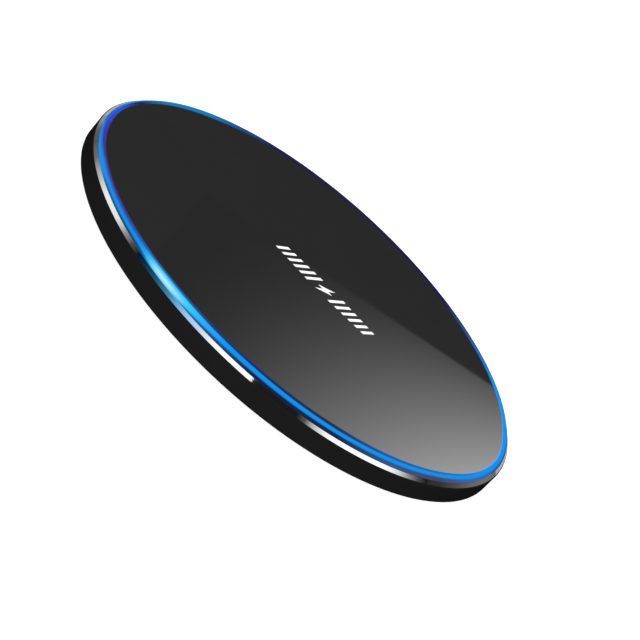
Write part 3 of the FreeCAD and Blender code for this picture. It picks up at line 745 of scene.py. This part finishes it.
def light_card(name, corners, paint):
    """A glowing card with four corners in mm, which only mirrors see.

    paint gives its colour and its strength from the places along and across it.
    """
    mesh = bmesh.new()
    face = mesh.faces.new([mesh.verts.new(Vector(corner) * MM) for corner in corners])
    layer = mesh.loops.layers.uv.new("UVMap")
    for loop, place in zip(face.loops, ((0, 0), (1, 0), (1, 1), (0, 1))):
        loop[layer].uv = place
    data = bpy.data.meshes.new(name)
    mesh.to_mesh(data)
    mesh.free()
    card = bpy.data.objects.new(name, data)
    bpy.context.scene.collection.objects.link(card)
    made = Surface(name)
    split = made.node("SeparateXYZ", {0: made.nodes.new("ShaderNodeTexCoord").outputs["UV"]})
    colour, strength = paint(made, split.outputs[0], split.outputs[1])
    glow = made.node("Emission", {"Color": colour, "Strength": strength})
    made.links.new(glow.outputs[0], made.nodes["Material Output"].inputs["Surface"])
    data.materials.append(made.material)
    card.visible_camera = False
    card.visible_diffuse = False
    card.visible_shadow = False


CARD_DISTANCE = 700.0


def strip_card(name, start, end, width, stops):
    """A card seen from the pad between two directions, width degrees wide, coloured along its length."""
    a, b = toward(*start), toward(*end)
    side = a.cross(b).normalized() * math.tan(math.radians(width / 2))
    corners = [corner * CARD_DISTANCE for corner in (a - side, b - side, b + side, a + side)]
    light_card(name, corners, lambda made, along, across: (made.ramp(along, stops), 1.0))


def warm(grey):
    """A grey with a trace of brown."""
    return (grey, grey * 0.88, grey * 0.84)


def make_rim_cards():
    """Strips round the pad that put bright stretches on its polished rim, with gaps between them."""
    strip_card("card_left", (134, 4), (-159, 50), 34, [
        (0.0, 0.30), (0.13, warm(0.14)), (0.26, warm(0.11)), (0.39, warm(0.19)), (0.53, 0.58), (0.63, 0.95),
        (0.76, 0.88), (0.85, 0.32), (0.92, 0.08), (1.0, 0.0)])
    strip_card("card_low_left", (127, -5), (134, 4), 34, [(0.0, 0.30), (1.0, 0.30)])
    strip_card("card_low_right", (70, 2), (77, -5), 24, [(0.0, 0.11), (1.0, 0.11)])
    strip_card("card_glow", (-163, 42), (-141, 57), 30, [
        (0.0, 0.0), (0.2, (0.001, 0.004, 0.012)), (0.45, (0.003, 0.03, 0.09)), (0.7, (0.014, 0.09, 0.19)),
        (1.0, (0.05, 0.22, 0.38))])
    strip_card("card_near", (-143, 56), (-66, 65), 30, [
        (0.0, (0.04, 0.20, 0.33)), (0.10, (0.08, 0.32, 0.58)), (0.18, (0.22, 0.46, 0.80)),
        (0.30, (0.42, 0.65, 0.95)), (0.42, (0.58, 0.74, 0.98)), (0.56, 1.0), (0.7, 1.2), (1.0, 1.25)])
    strip_card("card_right", (-38, 60), (28, 31), 30, [
        (0.0, 0.0), (0.07, 0.1), (0.12, 0.5), (0.19, 0.9), (0.28, 1.25), (0.62, 1.25), (0.75, 0.75),
        (0.85, warm(0.28)), (0.93, warm(0.08)), (1.0, 0.02)])
    strip_card("card_end", (28, 31), (70, 2), 24, [
        (0.0, 0.03), (0.13, 0.035), (0.31, warm(0.09)), (0.49, warm(0.16)), (0.66, warm(0.19)),
        (0.83, warm(0.17)), (1.0, 0.11)])


def make_back_cards():
    """Strips that put highlights on the rim and the panel as they are seen from other sides."""
    strip_card("card_back", (50, 62), (170, 58), 16, [
        (0.0, 0.0), (0.2, 0.9), (0.6, 0.9), (0.8, 0.1), (1.0, 0.6)])
    strip_card("card_top", (-90, 84), (90, 78), 10, [(0.0, 0.8), (1.0, 0.8)])
    strip_card("card_side_left", (-20, 6), (-20, 30), 14, [(0.0, 0.25), (1.0, 0.7)])
    strip_card("card_side_right", (-76, 6), (-76, 30), 14, [(0.0, 0.2), (1.0, 0.5)])


SOFTBOX_LEFT = Vector((-160, 600, 253.5))
SOFTBOX_RIGHT = Vector((130, 600, 191))
SOFTBOX_RISE = Vector((0, 0, 290))


def make_softbox():
    """A tall graded card beyond the pad, which the panel mirrors with one straight edge."""
    corners = [SOFTBOX_LEFT, SOFTBOX_RIGHT, SOFTBOX_RIGHT + SOFTBOX_RISE, SOFTBOX_LEFT + SOFTBOX_RISE]

    def paint(made, along, up):
        across = made.math("MULTIPLY", made.math("POWER", along, 2.6), 4.95)
        rise = made.math("MINIMUM", made.math("ADD", made.math("MULTIPLY", up, 4.2), 0.25), 1.7)
        return (1.0, 1.0, 1.0, 1.0), made.math("MULTIPLY", across, rise)

    light_card("softbox", corners, paint)


make_camera()
cad_materials = dress_cad_nodes()
charging_panel(cad_materials)
bezel(cad_materials)
foot(cad_materials)
printed_mark()
make_floor()
make_world()
soft_light("key", -85, 45, 35.0)
soft_light("fill", 95, 30, 30.0)
make_rim_cards()
make_back_cards()
make_softbox()

bpy.context.scene.view_settings.view_transform = "Standard"
